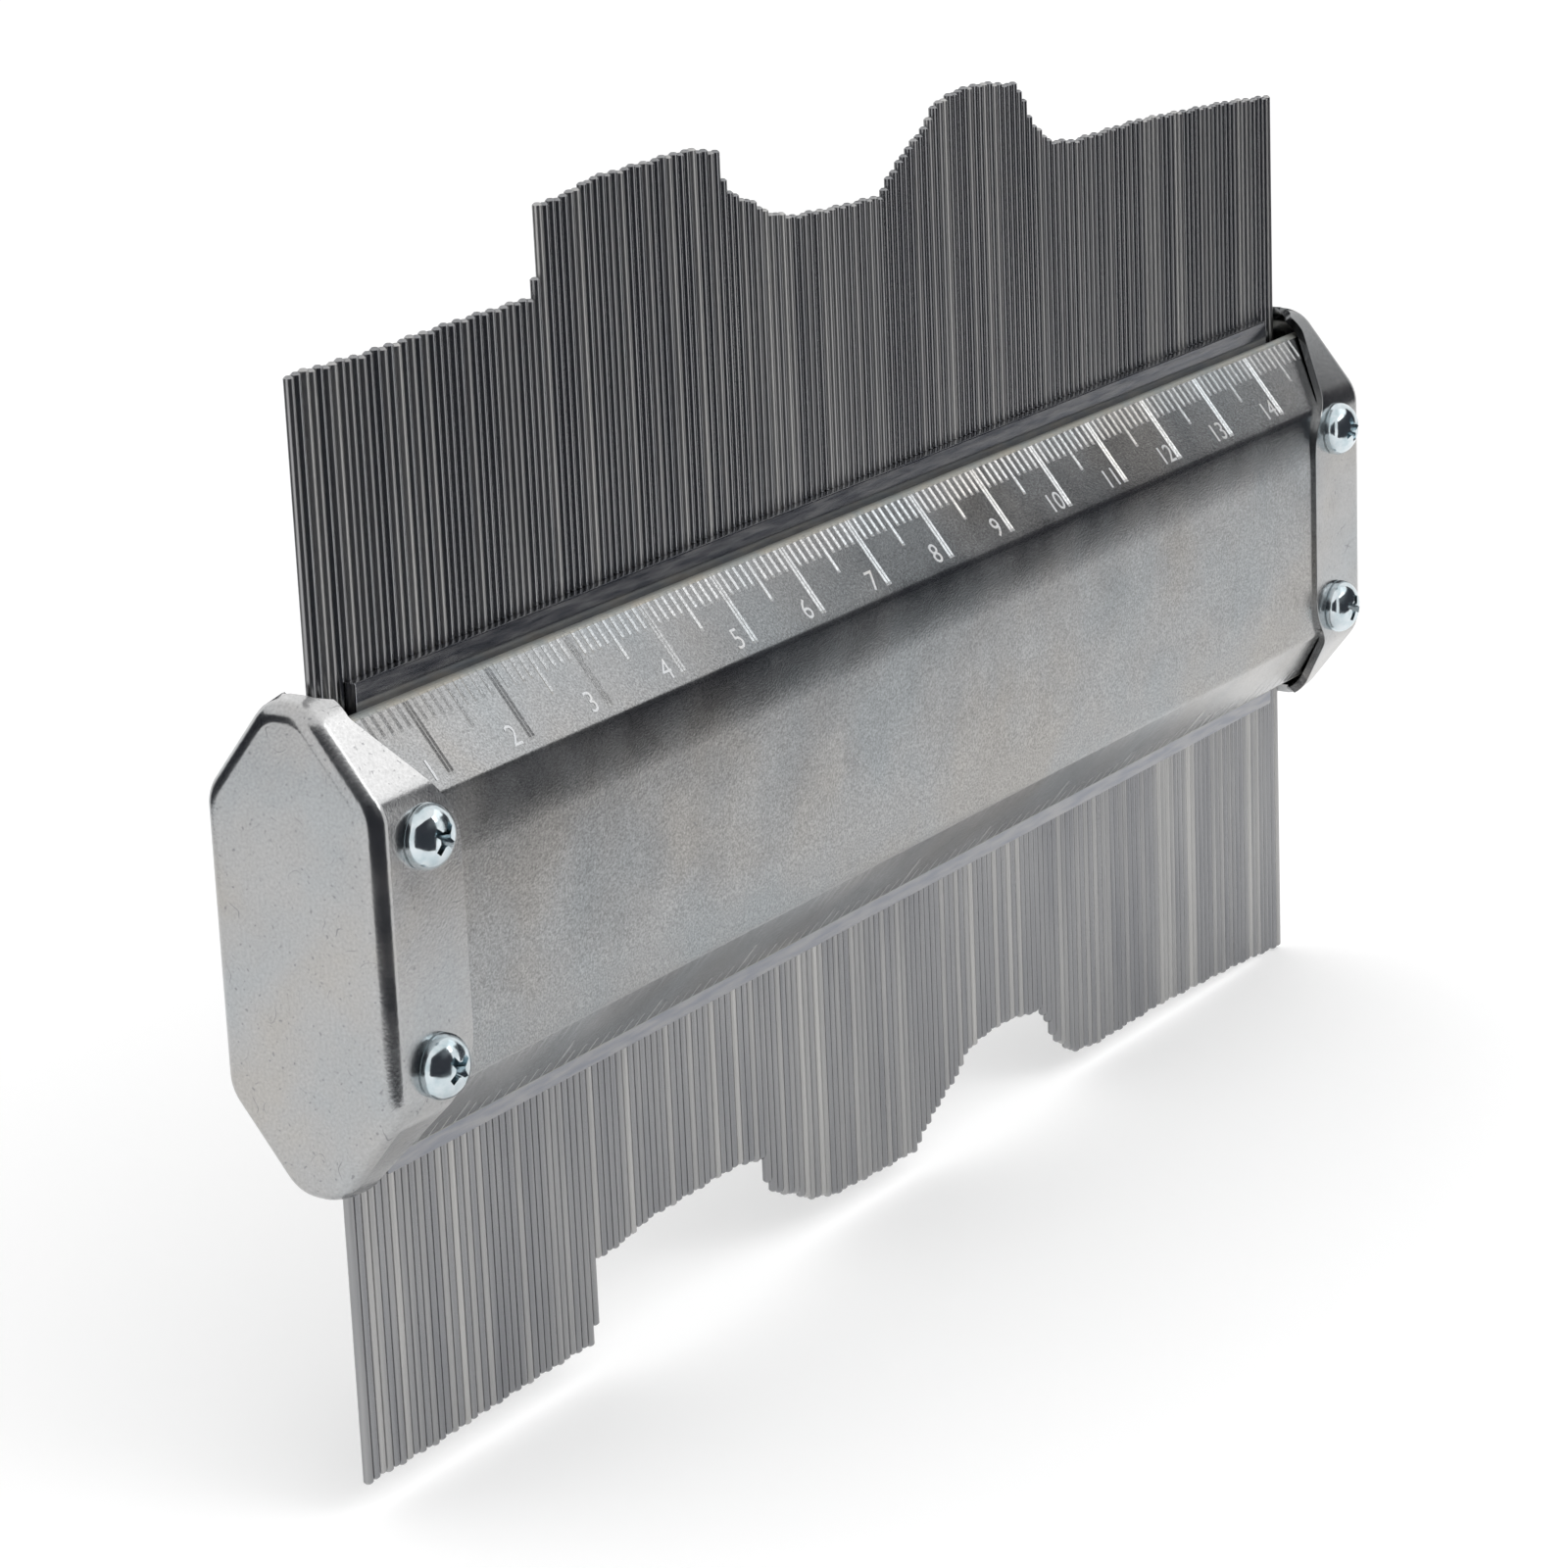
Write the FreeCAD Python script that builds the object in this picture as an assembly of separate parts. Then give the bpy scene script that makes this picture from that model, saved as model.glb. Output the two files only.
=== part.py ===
"""Contour gauge of 150 mm: two pressed steel shells hold a row of sliding steel needles.

The scale runs along +X, the needles slide along Z with +Z up, and the scale face looks to -Y.
The origin is the centre of the left end cap's flat outer face. All lengths are in millimetres.
"""
import FreeCAD, Part
import math
import os
from FreeCAD import Vector

# Body, measured over the two end caps
body_length = 155.0
body_height = 38.3
body_depth = 16.1
top_flat_width = 4.0
front_flat_height = 23.3

# End caps, pressed as eight-sided cups
cap_sheet = 0.8
cap_end_bend = 1.5
cap_side_bend = 3.5
cap_rim_width = 3.5
cap_rim_dip = 1.6
cap_ear_width = 9.8
cap_sweep_start = 7.0
cap_sweep_bend = 6.0

# Shells, pressed as channels
shell_sheet = 1.0
shell_bend = 2.0
shell_brow_bend = 45.0
shell_brow_run = 4.0
shell_to_cap = 0.05
shell_end_gap = 0.1

# Screws, two in each ear; the flat cuts off the top of the head's dome
screw_head_diameter = 5.0
screw_dome_height = 2.1
screw_head_side = 0.8
screw_diameter = 2.5
screw_length = 5.0
screw_dome_bands = 2
screw_top_flat = 2.2
screw_sides = 16
screw_from_end = 5.6
screw_below_bend = 2.85
ear_hole_play = 0.2
thread_play = 0.03

# Guide plates and friction pads
guide_sheet = 1.0
guide_end_inset = 7.0
guide_above_lip = 1.6
guide_to_needle = 0.02
guide_to_lip = 0.1
pad_end_inset = 9.0
pad_height = 14.0

# Needles
needle_diameter = 0.8
needle_gap = 0.024
needle_length = 85.4
needle_sides = 8
needles_per_group = 4
needle_end_room = 1.6
needle_unevenness = 0.12

# How far a cutter runs past what it cuts
overrun = 1.0

# Moulding that the needles were pressed against: distance from the left end, rise of the needles
pressed_profile = [
    (0.0, -0.3), (12.0, -0.5), (24.0, -0.2), (33.1, -0.2),
    (33.6, 2.0), (34.1, 6.6), (38.4, 6.9), (41.0, 7.5), (54.0, 7.6), (58.2, 6.9),
    (58.6, 4.8), (60.0, 3.2), (62.8, 2.1), (65.0, 0.9), (68.6, -0.1), (75.5, -0.5), (82.3, -0.7),
    (83.5, 0.4), (85.9, 2.1), (89.5, 3.9), (90.9, 5.4), (94.0, 6.2), (98.6, 6.3), (104.5, 5.4),
    (105.6, 4.3), (107.3, 1.5), (110.3, -0.5), (114.4, -1.1), (126.5, -1.1), (143.5, -2.0), (body_length, -3.0),
]

# Places that follow from the sizes above
shell_inset = cap_sheet + shell_to_cap
needle_pitch = needle_diameter + needle_gap
guide_inner_face = needle_diameter / 2 + guide_to_needle
guide_outer_face = guide_inner_face + guide_sheet
cap_inner_chamfer = (cap_end_bend - cap_sheet) / 2
shell_start = cap_sheet + cap_inner_chamfer + shell_end_gap
shell_inner_face = body_depth / 2 - shell_inset - shell_sheet
screw_height = front_flat_height / 2 - screw_below_bend
screw_spots = [
    (along, up)
    for along in (screw_from_end, body_length - screw_from_end)
    for up in (screw_height, -screw_height)
]


def direction(start, end):
    """Give the unit vector from one (y, z) point to another."""
    length = math.hypot(end[0] - start[0], end[1] - start[1])
    return ((end[0] - start[0]) / length, (end[1] - start[1]) / length)


def crossing(point_a, along_a, point_b, along_b):
    """Give the (y, z) point where two lines meet."""
    slant = along_a[0] * along_b[1] - along_a[1] * along_b[0]
    gap = (point_b[0] - point_a[0], point_b[1] - point_a[1])
    reach = (gap[0] * along_b[1] - gap[1] * along_b[0]) / slant
    return (point_a[0] + along_a[0] * reach, point_a[1] + along_a[1] * reach)


def body_outline(inset):
    """Give the eight corners of the body's section, moved inwards by a distance.

    The corners run from the top front corner down the front, and back up the rear.
    """
    top = body_height / 2
    front = body_depth / 2
    half_top = top_flat_width / 2
    half_front = front_flat_height / 2
    corners = [
        (-half_top, top), (-front, half_front), (-front, -half_front), (-half_top, -top),
        (half_top, -top), (front, -half_front), (front, half_front), (half_top, top),
    ]
    sides = []
    for start, end in zip(corners, corners[1:] + corners[:1]):
        along = direction(start, end)
        sides.append(((start[0] - along[1] * inset, start[1] + along[0] * inset), along))
    return [crossing(*before, *after) for before, after in zip(sides[-1:] + sides[:-1], sides)]


def rounded_wire(corners, bends, x):
    """Make a closed wire in the plane at x from (y, z) corners, each with its own bend radius."""
    count = len(corners)
    arcs = []
    for i in range(count):
        corner = corners[i]
        back = direction(corner, corners[i - 1])
        ahead = direction(corner, corners[(i + 1) % count])
        half_angle = math.acos(back[0] * ahead[0] + back[1] * ahead[1]) / 2
        run = bends[i] / math.tan(half_angle)
        middle = direction((0, 0), (back[0] + ahead[0], back[1] + ahead[1]))
        depth = bends[i] / math.sin(half_angle) - bends[i]
        arcs.append([
            Vector(x, corner[0] + leg[0] * reach, corner[1] + leg[1] * reach)
            for leg, reach in ((back, run), (middle, depth), (ahead, run))
        ])
    edges = []
    for i in range(count):
        start, through, end = arcs[i]
        if bends[i] > 0:
            edges.append(Part.Arc(start, through, end).toShape())
        following = arcs[(i + 1) % count][0]
        if end.distanceToPoint(following) > 1e-6:
            edges.append(Part.LineSegment(end, following).toShape())
    return Part.Wire(edges)


def bar(corners, bends, x_start, x_end):
    """Make a straight bar along X from its section."""
    face = Part.Face(rounded_wire(corners, bends, x_start))
    return face.extrude(Vector(x_end - x_start, 0, 0))


def turned_round(shape):
    """Turn a shape half a turn about the upright line through the body's middle."""
    copy = shape.copy()
    copy.rotate(Vector(body_length / 2, 0, 0), Vector(0, 0, 1), 180)
    return copy


def lip_corners():
    """Give the outer and inner (y, z) corners of the front shell's upper cut edge."""
    outline = body_outline(shell_inset)
    slope = direction(outline[0], outline[1])
    inner_y = -(guide_outer_face + guide_to_lip)
    inward = (-slope[1] * shell_sheet, slope[0] * shell_sheet)
    outer_y = inner_y - inward[0]
    outer = crossing((outer_y, 0), (0, 1), outline[0], slope)
    return outer, (outer[0] + inward[0], outer[1] + inward[1])


def facet_body(outline, sides):
    """Make an upright many-sided body from (radius, height) points, listed from the top down."""
    turns = [(side + 0.5) * 2 * math.pi / sides for side in range(sides)]
    rings = [[Vector(r * math.cos(t), r * math.sin(t), height) for t in turns] for r, height in outline]
    faces = [Part.Face(Part.makePolygon(ring + ring[:1])) for ring in (rings[0], rings[-1])]
    for upper, lower in zip(rings, rings[1:]):
        for i in range(sides):
            corners = [upper[i - 1], upper[i], lower[i], lower[i - 1], upper[i - 1]]
            faces.append(Part.Face(Part.makePolygon(corners)))
    return Part.makeSolid(Part.makeShell(faces))


def rod(diameter, x, z, y_start, y_end):
    """Make a rod that runs along Y and has as many sides as a screw, each side along one of the screw's."""
    body = facet_body([(diameter / 2, -y_start), (diameter / 2, -y_end)], screw_sides)
    body.rotate(Vector(0, 0, 0), Vector(1, 0, 0), 90)
    body.translate(Vector(x, 0, z))
    return body


def mirrored_down(corners):
    """Give (y, z) corners mirrored in the plane z = 0, in reverse order."""
    return [(y, -z) for y, z in reversed(corners)]


def brow_corners(inset, bend, brow_bend):
    """Give the (y, z) corners of the tight bend below the upper slope and of the slow bend that follows it."""
    outline = body_outline(inset)
    slope = direction(outline[0], outline[1])
    steep = math.atan2(-slope[0], -slope[1])
    lean = shell_brow_run / shell_brow_bend
    run = bend * math.tan((steep - lean) / 2) + brow_bend * math.tan(lean / 2)
    front = outline[1][0]
    high = crossing((front + run * math.sin(lean), 0), (0, 1), outline[0], slope)
    return high, (front, high[1] - run * math.cos(lean))


def front_shell():
    """Make the front channel, with a threaded hole for a screw near each of its four corners."""
    lip_outer, lip_inner = lip_corners()
    inner_bend = shell_bend - shell_sheet
    inner_brow_bend = shell_brow_bend - shell_sheet
    outside = [lip_outer, *brow_corners(shell_inset, shell_bend, shell_brow_bend)]
    inside = [lip_inner, *brow_corners(shell_inset + shell_sheet, inner_bend, inner_brow_bend)]
    corners = outside + mirrored_down(outside) + inside_path(inside)
    outer_bends = [0, shell_bend, shell_brow_bend, shell_brow_bend, shell_bend, 0]
    inner_bends = [0, inner_bend, inner_brow_bend, inner_brow_bend, inner_bend, 0]
    shell = bar(corners, outer_bends + inner_bends, shell_start, body_length - shell_start)
    for along, up in screw_spots:
        shell = shell.cut(rod(screw_diameter + 2 * thread_play, along, up, -body_depth, 0))
    return shell


def inside_path(upper):
    """Give the inner corners of the channel, from its lower cut edge back up to the upper one."""
    return [(y, -z) for y, z in upper] + list(reversed(upper))


def front_point(x, z):
    """Give a point in the plane where the cutters that run along Y start."""
    return Vector(x, -body_depth, z)


def rim_edge_cutter():
    """Make the block above the cap's swept rim edge, from the ear's side to over the top.

    The edge leaves the ear's upright side as an arc and goes on straight to the rim beside the lip.
    """
    low = cap_sweep_start
    high = lip_corners()[0][1]
    hub = (cap_ear_width - cap_sweep_bend, low)
    reach = math.hypot(cap_rim_width - hub[0], high - hub[1])
    turn = math.atan2(high - hub[1], cap_rim_width - hub[0]) - math.acos(cap_sweep_bend / reach)
    middle, end = [
        front_point(hub[0] + cap_sweep_bend * math.cos(angle), hub[1] + cap_sweep_bend * math.sin(angle))
        for angle in (turn / 2, turn)
    ]
    ear_edge = front_point(cap_ear_width, low)
    corners = [
        end, front_point(cap_rim_width, high), front_point(cap_rim_width, body_height),
        front_point(2 * cap_ear_width, body_height), front_point(2 * cap_ear_width, low), ear_edge,
    ]
    edges = [Part.Arc(ear_edge, middle, end).toShape()]
    edges += [Part.LineSegment(a, b).toShape() for a, b in zip(corners, corners[1:])]
    return Part.Face(Part.Wire(edges)).extrude(Vector(0, 2 * body_depth, 0))


def rim_dip_cutter():
    """Make the round cutter that dips the rim's edge where it passes the needles."""
    half_width = top_flat_width / 2
    radius = (cap_rim_dip ** 2 + half_width ** 2) / (2 * cap_rim_dip)
    centre = cap_rim_width - cap_rim_dip + radius
    return Part.makeCylinder(radius, 2 * body_height, Vector(centre, 0, -body_height))


def end_edges(shape, x):
    """List the edges of a bar's end face at x."""
    return [edge for edge in shape.Edges if abs(edge.BoundBox.XMin - x) + abs(edge.BoundBox.XMax - x) < 1e-6]


def left_end_cap():
    """Make the left cup: end plate, short rim above and below, and an ear at the front and rear."""
    inner_corner = cap_side_bend - cap_sheet
    outside = bar(body_outline(0), [cap_side_bend] * 8, 0, cap_ear_width)
    outside = outside.makeFillet(cap_end_bend, end_edges(outside, 0))
    inside = bar(body_outline(cap_sheet), [inner_corner] * 8, cap_sheet, cap_ear_width + overrun)
    inside = inside.makeChamfer(cap_inner_chamfer, end_edges(inside, cap_sheet))
    cap = outside.cut(inside)
    upper_cutter = rim_edge_cutter()
    lower_cutter = upper_cutter.mirror(Vector(0, 0, 0), Vector(0, 0, 1))
    cap = cap.cut(upper_cutter).cut(lower_cutter).cut(rim_dip_cutter())
    for up in (screw_height, -screw_height):
        hole = screw_diameter + 2 * ear_hole_play
        cap = cap.cut(rod(hole, screw_from_end, up, -body_depth, body_depth))
    return cap


def dome_points():
    """Give the (radius, height) points of a screw head's dome, from its flat top to its side."""
    head = screw_head_diameter / 2
    flat = screw_top_flat / 2
    rise = screw_dome_height - screw_head_side
    radius = (head ** 2 + rise ** 2) / (2 * rise)
    turns = [math.asin(flat / radius + (head - flat) / radius * band / screw_dome_bands)
             for band in range(screw_dome_bands + 1)]
    return [(radius * math.sin(t), screw_dome_height - radius * (1 - math.cos(t))) for t in turns]


def front_screw(along, up):
    """Make one pan head screw, seated on the front of an ear."""
    head = screw_head_diameter / 2
    shank = screw_diameter / 2
    outline = dome_points() + [(head, 0), (shank, 0), (shank, -screw_length)]
    screw = facet_body(outline, screw_sides)
    screw.rotate(Vector(0, 0, 0), Vector(1, 0, 0), 90)
    screw.translate(Vector(along, -body_depth / 2, up))
    return screw


def cap_screws():
    """Make the eight screws, two in each ear of each cap."""
    front = [front_screw(along, up) for along, up in screw_spots]
    return Part.makeCompound(front + [turned_round(screw) for screw in front])


def front_guide_plate():
    """Make the flat strip between the front lips and the needles."""
    height = lip_corners()[0][1] + guide_above_lip
    corner = Vector(guide_end_inset, -guide_outer_face, -height)
    return Part.makeBox(body_length - 2 * guide_end_inset, guide_sheet, 2 * height, corner)


def front_friction_pad():
    """Make the soft strip that presses the front guide plate against the needles."""
    thickness = shell_inner_face - guide_outer_face
    corner = Vector(pad_end_inset, -shell_inner_face, -pad_height / 2)
    return Part.makeBox(body_length - 2 * pad_end_inset, thickness, pad_height, corner)


def pressed_rise(x):
    """Give how far the moulding pushed a needle up, between the profile's points."""
    for (x_low, rise_low), (x_high, rise_high) in zip(pressed_profile, pressed_profile[1:]):
        if x <= x_high:
            share = (x - x_low) / (x_high - x_low)
            return rise_low + (rise_high - rise_low) * share
    return pressed_profile[-1][1]


def needle(x, rise):
    """Make one straight needle, with its middle at a height and two of its sides to the guide plates."""
    half = needle_length / 2
    body = facet_body([(needle_diameter / 2, half), (needle_diameter / 2, -half)], needle_sides)
    body.translate(Vector(x, 0, rise))
    return body


def needle_groups():
    """Make the needle row, as groups of neighbours that fill the room between the end caps.

    The stray of a needle from the moulding's outline changes from each one to the next.
    """
    room = body_length - 2 * (cap_sheet + needle_end_room)
    count = int((room + needle_gap) / needle_pitch + 0.001)
    group_count = count // needles_per_group
    count = group_count * needles_per_group
    first = body_length / 2 - (count - 1) / 2 * needle_pitch
    groups = []
    for group in range(group_count):
        needles = []
        for i in range(group * needles_per_group, (group + 1) * needles_per_group):
            x = first + i * needle_pitch
            stray = needle_unevenness * ((i * 7) % 5 - 2) / 2
            needles.append(needle(x, pressed_rise(x) + stray))
        groups.append(Part.makeCompound(needles))
    return groups


def main():
    """Write one file for each sub-part."""
    shell = front_shell()
    cap = left_end_cap()
    guide = front_guide_plate()
    pad = front_friction_pad()
    nodes = {
        "front_shell": shell,
        "rear_shell": turned_round(shell),
        "left_end_cap": cap,
        "right_end_cap": turned_round(cap),
        "cap_screws": cap_screws(),
        "front_guide_plate": guide,
        "rear_guide_plate": turned_round(guide),
        "front_friction_pad": pad,
        "rear_friction_pad": turned_round(pad),
    }
    for number, group in enumerate(needle_groups(), start=1):
        nodes[f"needles_{number:02d}"] = group
    os.makedirs("parts", exist_ok=True)
    for name, shape in nodes.items():
        shape.exportStep(f"parts/{name}.step")
        print(name, "solids", len(shape.Solids), "volume", round(shape.Volume, 2), "valid", shape.isValid())


main()
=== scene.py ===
"""Looks of a 150 mm contour gauge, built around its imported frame.

Sizes of the pieces and of their patterns are in millimetres, with X along the scale, Y to the rear and Z up
the needles. Finished meshes and the studio are in metres, in the frame's own place.
"""
import logging
import math
from bisect import bisect
from dataclasses import dataclass, field, replace
from enum import Enum

import bmesh
import bpy
from bmesh.types import BMEdge, BMesh, BMVert
from bpy.types import Material, NodeSocket as Socket
from mathutils import Matrix, Vector


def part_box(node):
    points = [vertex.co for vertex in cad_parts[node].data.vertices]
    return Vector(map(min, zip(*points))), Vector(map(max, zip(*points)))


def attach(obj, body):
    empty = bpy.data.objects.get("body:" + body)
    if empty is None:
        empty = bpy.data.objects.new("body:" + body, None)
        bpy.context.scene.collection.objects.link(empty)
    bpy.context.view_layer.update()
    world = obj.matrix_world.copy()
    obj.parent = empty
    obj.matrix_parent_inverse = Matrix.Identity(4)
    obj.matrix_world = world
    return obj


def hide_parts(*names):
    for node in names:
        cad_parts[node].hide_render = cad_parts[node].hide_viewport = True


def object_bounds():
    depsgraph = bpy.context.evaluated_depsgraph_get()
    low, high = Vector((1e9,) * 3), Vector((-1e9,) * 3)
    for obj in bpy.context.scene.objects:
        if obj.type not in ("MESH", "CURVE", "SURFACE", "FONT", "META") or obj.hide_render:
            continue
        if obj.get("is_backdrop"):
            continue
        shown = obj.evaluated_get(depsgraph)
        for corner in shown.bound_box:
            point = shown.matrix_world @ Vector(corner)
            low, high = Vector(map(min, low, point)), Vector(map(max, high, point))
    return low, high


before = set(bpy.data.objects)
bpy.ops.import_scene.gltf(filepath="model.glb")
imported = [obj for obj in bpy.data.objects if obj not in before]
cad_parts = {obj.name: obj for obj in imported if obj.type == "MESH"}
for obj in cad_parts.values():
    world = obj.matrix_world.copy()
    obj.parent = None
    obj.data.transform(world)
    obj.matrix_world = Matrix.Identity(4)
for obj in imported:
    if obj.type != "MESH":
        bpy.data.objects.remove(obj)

logging.basicConfig(level=logging.INFO, format="%(name)s: %(message)s")
log = logging.getLogger("contour_gauge")

MM = 0.001
NEAR = 1e-3  # Two places closer than this many millimetres count as one.
Colour = tuple[float, float, float]
Place = tuple[float, float, float]
Point = tuple[float, float]


class Side(Enum):
    """Which of two like pieces is made: as it stands, or turned half round about the upright."""

    AS_BUILT = 0
    TURNED = 1


class Slot(Enum):
    """Names of the record's material slots."""

    SHELL = "shell_zinc"
    CAP = "cap_zinc"
    SCREW = "screw_zinc"
    GUIDE = "guide_steel"
    NEEDLE = "needle_steel"


class Face(Enum):
    """Which of a shell's finishes a face takes, by its number among the piece's materials."""

    CUT = 1
    # One wall of each groove takes a lighter finish, a painted highlight.
    GROOVE = 2


class NodeBench:
    """Lays out the nodes of one finish around a Principled shader."""

    def __init__(self, name: str) -> None:
        """Start a material.

        Args:
            name: Name of the material.
        """
        self.material = bpy.data.materials.new(name)
        self.material.use_nodes = True
        self.tree = self.material.node_tree
        self.tree.nodes.clear()
        self.shader = self.add("ShaderNodeBsdfPrincipled")
        self.output = self.add("ShaderNodeOutputMaterial")
        self.join(self.shader.outputs["BSDF"], self.output.inputs["Surface"])
        self.object_place = self.add("ShaderNodeTexCoord").outputs["Object"]

    def add(self, kind: str) -> bpy.types.Node:
        """Add a node of a kind."""
        return self.tree.nodes.new(kind)

    def join(self, source: Socket, target: Socket) -> None:
        """Link an output to an input."""
        self.tree.links.new(source, target)

    def put(self, socket: Socket, value: object) -> None:
        """Link an input to an output, or set it to a plain value."""
        if isinstance(value, Socket):
            self.join(value, socket)
        else:
            socket.default_value = value

    def set(self, **values: object) -> None:
        """Link or set inputs of the shader, with _ in their names for a space."""
        for name, value in values.items():
            self.put(self.shader.inputs[name.replace("_", " ")], value)

    def make(
        self, kind: str, output: str | int, inputs: dict[str | int, object], **settings: str,
    ) -> Socket:
        """Add a node and set it up.

        Args:
            kind: Kind of the node.
            output: Which of its outputs is wanted.
            inputs: What each input is linked or set to.
            settings: The node's own settings, which come before its inputs.

        Returns:
            The output.
        """
        node = self.add(f"ShaderNode{kind}")
        for name, value in settings.items():
            setattr(node, name, value)
        for name, value in inputs.items():
            self.put(node.inputs[name], value)
        return node.outputs[output]

    def place(self, stretch: Place = (1.0, 1.0, 1.0)) -> Socket:
        """Give the place on the piece in millimetres; a small stretch draws patterns out along its axis."""
        scale = [share / MM for share in stretch]
        return self.make("Mapping", "Vector", {"Vector": self.object_place, "Scale": scale})

    def part(self, place: Socket, axis: str) -> Socket:
        """Give one axis of a place."""
        return self.make("SeparateXYZ", axis, {"Vector": place})

    def noise(self, place: Socket, size: float, detail: float = 2.0) -> Socket:
        """Give soft random blobs of a size in millimetres, with some finer layers of detail."""
        return self.make("TexNoise", "Fac", {"Vector": place, "Scale": 1.0 / size, "Detail": detail})

    def span(self, value: Socket, old: Point, new: Point = (0.0, 1.0)) -> Socket:
        """Map a value from one range to another, held at the ends."""
        ends = {"From Min": old[0], "From Max": old[1], "To Min": new[0], "To Max": new[1]}
        return self.make("MapRange", "Result", {"Value": value, **ends})

    def maths(self, operation: str, first: Socket | float, second: Socket | float = 0.0) -> Socket:
        """Work out a value from one or two others."""
        return self.make("Math", "Value", {0: first, 1: second}, operation=operation)

    def tint(self, share: Socket, low: Socket | Colour, high: Socket | Colour) -> Socket:
        """Blend two colours by the share of the second."""
        ends = [(*colour, 1.0) if isinstance(colour, tuple) else colour for colour in (low, high)]
        return self.make("Mix", 2, {"Factor": share, 6: ends[0], 7: ends[1]}, data_type="RGBA")

    def bump(self, height: Socket, depth: float) -> None:
        """Add relief on top of the relief that is already there.

        Args:
            height: Output that holds the height from 0 to 1.
            depth: Height of the relief in millimetres.
        """
        inputs = {"Strength": 1.0, "Distance": depth * MM, "Height": height}
        normal = self.shader.inputs["Normal"]
        if normal.is_linked:
            inputs["Normal"] = normal.links[0].from_socket
        self.join(self.make("Bump", "Normal", inputs), normal)

    def coat(
        self, colour: Socket, cloud: Socket, gloss: Point | float, reach: Point = (0.3, 0.7),
        metal: float = 1.0,
    ) -> None:
        """Set the shader's colour, roughness and kind.

        Args:
            colour: Output that holds the colour.
            cloud: Output that the roughness follows.
            gloss: Lowest and highest roughness, or the one roughness.
            reach: Range of the cloud's values in which the roughness changes.
            metal: 1 for a metal, 0 for anything else.
        """
        rough = self.span(cloud, reach, gloss) if isinstance(gloss, tuple) else gloss
        self.set(Base_Color=colour, Roughness=rough, Metallic=metal)


@dataclass(frozen=True)
class PlatedSheet:
    """Zinc-plated sheet: satin metal with fine grain, clouds of tint, smudges and scratches.

    Where a painted light colour is given, the upper part of the piece away from its end plate takes that
    colour: a painted highlight where it is lighter, painted shade where it is darker.
    It starts at the first height and place along the gauge of each pair and is full at the second.
    """

    name: str
    tone: Colour
    cool: Colour
    warm: Colour
    gloss: Point
    grain_size: float
    grain_depth: float
    speckle: float
    grain_reach: Point = (0.25, 0.75)
    cloud_size: float = 14.0
    cool_reach: Point = (0.35, 0.5)
    warm_reach: Point = (0.52, 0.68)
    smudge_share: float = 0.45
    mark_size: float = 5.0
    mark_width: float = 0.004
    mark_reach: Point = (0.68, 0.74)
    mark_colour: Colour = (0.24, 0.24, 0.25)
    patch_share: float = 0.7
    pit_size: float = 0.45
    pit_reach: Point = (0.74, 0.8)
    pit_share: float = 0.7
    swell_size: float = 7.0
    swell_depth: float = 0.03
    burnish: Colour | None = None
    burnish_height: Point = (11.0, 13.0)
    burnish_start: Point = (0.6, 1.4)

    def scratches(self, bench: NodeBench, place: Socket) -> Socket:
        """Give fine broken lines that fade in by patches.

        Args:
            bench: The finish's nodes.
            place: Where the pattern is read.

        Returns:
            The output that holds 1 on a line and 0 beside it.
        """
        wander = bench.noise(place, self.mark_size, 0.5)
        off_line = bench.maths("ABSOLUTE", bench.maths("SUBTRACT", wander, 0.5))
        line = bench.span(off_line, (0.0, self.mark_width), (1.0, 0.0))
        patch = bench.noise(place, self.mark_size * self.patch_share, 0.0)
        return bench.maths("MULTIPLY", line, bench.span(patch, self.mark_reach))

    def material(self) -> Material:
        """Make the material."""
        bench = NodeBench(self.name)
        place = bench.place()
        clouds = bench.noise(place, self.cloud_size, 3.0)
        body = bench.tint(bench.span(clouds, self.cool_reach), self.cool, self.tone)
        body = bench.tint(bench.span(clouds, self.warm_reach), body, self.warm)
        # Painted light: the upper slopes away from the end plate take the given colour, a painted highlight
        # on the left cap and painted shade on the right one.
        if self.burnish:
            high = bench.span(bench.part(place, "Z"), self.burnish_height)
            rim = bench.span(bench.part(place, "X"), self.burnish_start)
            body = bench.tint(bench.maths("MULTIPLY", high, rim), body, self.burnish)
        marks = self.scratches(bench, place)
        pits = bench.span(bench.noise(place, self.pit_size, 1.0), self.pit_reach, (0.0, self.pit_share))
        dark = bench.maths("MAXIMUM", marks, pits)
        grain = bench.noise(place, self.grain_size, 1.0)
        shade = bench.span(grain, self.grain_reach, (1.0 - self.speckle, 1.0 + self.speckle))
        body = bench.make("VectorMath", "Vector", {"Vector": body, "Scale": shade}, operation="SCALE")
        smudge = bench.noise(place, self.cloud_size * self.smudge_share, 4.0)
        bench.coat(bench.tint(dark, body, self.mark_colour), smudge, self.gloss)
        bench.bump(grain, self.grain_depth)
        bench.bump(bench.noise(place, self.swell_size, 0.0), self.swell_depth)
        return bench.material


@dataclass(frozen=True)
class CloudedFinish:
    """Two tones in soft clouds, which may be drawn out to streaks.

    The relief follows the clouds, or a finer grain where a size is given for one.
    """

    name: str
    tone: Colour
    cloud: Colour
    gloss: Point | float
    size: float
    reach: Point = (0.35, 0.7)
    detail: float = 3.0
    relief: float = 0.004
    stretch: Place = (1.0, 1.0, 1.0)
    grain_size: float | None = None
    metal: float = 1.0

    def material(self) -> Material:
        """Make the material."""
        bench = NodeBench(self.name)
        place = bench.place(self.stretch)
        clouds = bench.noise(place, self.size, self.detail)
        colour = bench.tint(bench.span(clouds, self.reach), self.tone, self.cloud)
        bench.coat(colour, clouds, self.gloss, metal=self.metal)
        bench.bump(bench.noise(place, self.grain_size) if self.grain_size else clouds, self.relief)
        return bench.material


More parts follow.
